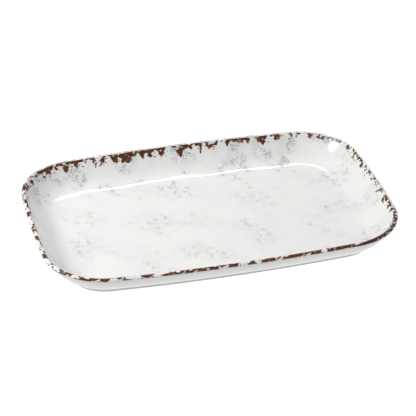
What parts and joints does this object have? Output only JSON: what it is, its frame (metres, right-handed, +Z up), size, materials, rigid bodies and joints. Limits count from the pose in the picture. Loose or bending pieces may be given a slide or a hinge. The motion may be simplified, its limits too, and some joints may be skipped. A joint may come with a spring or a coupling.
{
  "type": "serving platter",
  "caption": "Oblong glazed china serving platter: shallow flat well, flared wall with a rounded lip, worn brown band over the lip, and a low bare foot ring.",
  "frame": {"origin": "on the surface that the platter stands on, under the middle of the dish", "axes": "+X along the length, +Y along the width, +Z up out of the dish"},
  "size_m": [0.38, 0.257, 0.032],
  "materials": {
    "clay": "matt biscuit",
    "brown_slip": "gloss, worn through in patches",
    "crackle_glaze": "gloss white with faint grey-blue crackle",
    "clear_glaze": "gloss white"
  },
  "bodies": {
    "root": {"clay_body": "clay", "foot_ring": "clay", "rim_band": "brown_slip", "inner_glaze": "crackle_glaze", "outer_glaze": "clear_glaze", "underside_glaze": "clear_glaze"}
  },
  "joints": []
}
